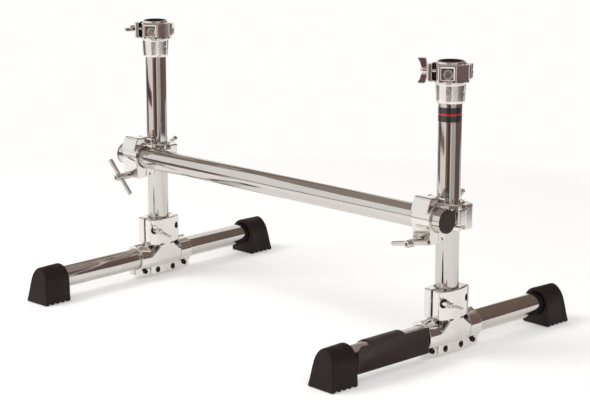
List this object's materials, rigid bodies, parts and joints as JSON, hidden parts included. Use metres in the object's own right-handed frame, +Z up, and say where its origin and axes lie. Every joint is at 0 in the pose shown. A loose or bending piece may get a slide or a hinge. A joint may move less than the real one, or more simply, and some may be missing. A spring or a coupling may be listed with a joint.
{
  "type": "drum rack frame",
  "caption": "Low tubular rack frame: short clamped uprights on footed tubes, a cross bar in hinged rack clamps with T-handles, and open top clamps.",
  "frame": {"origin": "centre of the bounding box at floor level", "axes": "+X along the cross bar, +Y along the foot tubes towards the back, +Z up"},
  "size_m": [0.802, 0.5696, 0.478],
  "materials": {
    "chrome_tube": "polished chrome plate on steel tube",
    "cast_chrome": "chrome plate on castings, slightly soft edges",
    "steel": "plain plated fasteners",
    "rubber": "matt black moulded rubber",
    "black_plastic": "satin black moulded plastic"
  },
  "bodies": {
    "right_base": {"right_foot_tube": "chrome_tube", "right_foot_front": "rubber", "right_foot_rear": "rubber", "right_base_clamp_outer": "cast_chrome", "right_base_clamp_inner": "cast_chrome", "right_base_hex_screw": "steel", "right_base_bolt_front": "steel", "right_base_bolt_rear": "steel", "right_lock_front": "cast_chrome", "right_lock_front_bolt": "steel", "right_lock_rear": "cast_chrome", "right_lock_rear_bolt": "steel", "name_plate": "black_plastic"},
    "right_base_wing": {"right_base_wing_bolt": "chrome_tube"},
    "right_post": {"right_upright": "chrome_tube"},
    "right_top": {"right_top_clamp": "cast_chrome", "right_top_bushing": "black_plastic", "right_top_nut": "steel"},
    "right_top_wing": {"right_top_wing_bolt": "chrome_tube"},
    "right_rack_clamp": {"right_rack_clamp_body": "cast_chrome", "right_bar_cap": "cast_chrome", "right_bar_hinge_pin": "steel", "right_bar_swing_bolt": "chrome_tube", "right_post_cap": "cast_chrome", "right_post_hinge_pin": "steel", "right_post_swing_bolt": "chrome_tube", "right_key_bolt": "chrome_tube"},
    "right_bar_handle": {"right_bar_t_handle": "chrome_tube"},
    "right_post_handle": {"right_post_t_handle": "chrome_tube"},
    "left_base": {"left_foot_tube": "chrome_tube", "left_foot_front": "rubber", "left_foot_rear": "rubber", "left_base_clamp_outer": "cast_chrome", "left_base_clamp_inner": "cast_chrome", "left_base_hex_screw": "steel", "left_base_bolt_front": "steel", "left_base_bolt_rear": "steel", "left_lock_front": "cast_chrome", "left_lock_front_bolt": "steel", "left_lock_rear": "cast_chrome", "left_lock_rear_bolt": "steel"},
    "left_base_wing": {"left_base_wing_bolt": "chrome_tube"},
    "left_post": {"left_upright": "chrome_tube"},
    "left_top": {"left_top_clamp": "cast_chrome", "left_top_bushing": "black_plastic", "left_top_nut": "steel"},
    "left_top_wing": {"left_top_wing_bolt": "chrome_tube"},
    "left_rack_clamp": {"left_rack_clamp_body": "cast_chrome", "left_bar_cap": "cast_chrome", "left_bar_hinge_pin": "steel", "left_bar_swing_bolt": "chrome_tube", "left_post_cap": "cast_chrome", "left_post_hinge_pin": "steel", "left_post_swing_bolt": "chrome_tube", "left_key_bolt": "chrome_tube"},
    "left_bar_handle": {"left_bar_t_handle": "chrome_tube"},
    "left_post_handle": {"left_post_t_handle": "chrome_tube"},
    "cross_bar": {"bar": "chrome_tube", "end_cap_left": "black_plastic", "end_cap_right": "black_plastic"}
  },
  "joints": [
    {"name": "right_base_swivel", "type": "hinge", "parent": "right_base", "child": "right_post", "pos_m": [0.35599, 0.00451, 0.0623], "axis": [0, 0, 1], "range_deg": [-90, 45]},
    {"name": "bar_height", "type": "slide", "parent": "right_post", "child": "right_rack_clamp", "axis": [0, 0, 1], "range_m": [-0.078, 0.134]},
    {"name": "bar_turn", "type": "hinge", "parent": "right_rack_clamp", "child": "cross_bar", "pos_m": [0.35599, -0.03949, 0.2296], "axis": [1, 0, 0], "range_deg": [-15, 15]},
    {"name": "stand_spacing", "type": "slide", "parent": "cross_bar", "child": "left_rack_clamp", "axis": [1, 0, 0], "range_m": [-0.018, 0.53]},
    {"name": "left_post_slide", "type": "slide", "parent": "left_rack_clamp", "child": "left_post", "axis": [0, 0, 1], "range_m": [-0.134, 0.078]},
    {"name": "left_base_swivel", "type": "hinge", "parent": "left_post", "child": "left_base", "pos_m": [-0.33551, 0.00451, 0.0623], "axis": [0, 0, -1], "range_deg": [-90, 45]},
    {"name": "right_top_clamp_swivel", "type": "hinge", "parent": "right_post", "child": "right_top", "pos_m": [0.35599, 0.00451, 0.42], "axis": [0, 0, 1], "continuous": true},
    {"name": "right_bar_handle_turn", "type": "hinge", "parent": "right_rack_clamp", "child": "right_bar_handle", "pos_m": [0.35599, -0.06029, 0.1976], "axis": [0, -1, 0], "continuous": true},
    {"name": "right_post_handle_turn", "type": "hinge", "parent": "right_rack_clamp", "child": "right_post_handle", "pos_m": [0.32399, 0.02531, 0.2296], "axis": [0, 1, 0], "continuous": true},
    {"name": "right_base_wing_turn", "type": "hinge", "parent": "right_base", "child": "right_base_wing", "pos_m": [0.3684, -0.02276, 0.09], "axis": [0.9987, -0.0513, 0], "continuous": true},
    {"name": "right_top_wing_turn", "type": "hinge", "parent": "right_top", "child": "right_top_wing", "pos_m": [0.3252, -0.01472, 0.4575], "axis": [-0.848, -0.5299, 0], "continuous": true},
    {"name": "left_top_clamp_swivel", "type": "hinge", "parent": "left_post", "child": "left_top", "pos_m": [-0.33551, 0.00451, 0.42], "axis": [0, 0, 1], "continuous": true},
    {"name": "left_bar_handle_turn", "type": "hinge", "parent": "left_rack_clamp", "child": "left_bar_handle", "pos_m": [-0.33551, -0.06029, 0.1976], "axis": [0, -1, 0], "continuous": true},
    {"name": "left_post_handle_turn", "type": "hinge", "parent": "left_rack_clamp", "child": "left_post_handle", "pos_m": [-0.36751, 0.02531, 0.2296], "axis": [0, 1, 0], "continuous": true},
    {"name": "left_base_wing_turn", "type": "hinge", "parent": "left_base", "child": "left_base_wing", "pos_m": [-0.32171, -0.02209, 0.09], "axis": [1, 0, 0], "continuous": true},
    {"name": "left_top_wing_turn", "type": "hinge", "parent": "left_top", "child": "left_top_wing", "pos_m": [-0.3663, -0.01472, 0.4575], "axis": [-0.848, -0.5299, 0], "continuous": true}
  ],
  "couplings": [
    {"joint": "left_post_slide", "follows": "bar_height", "ratio": -1}
  ]
}
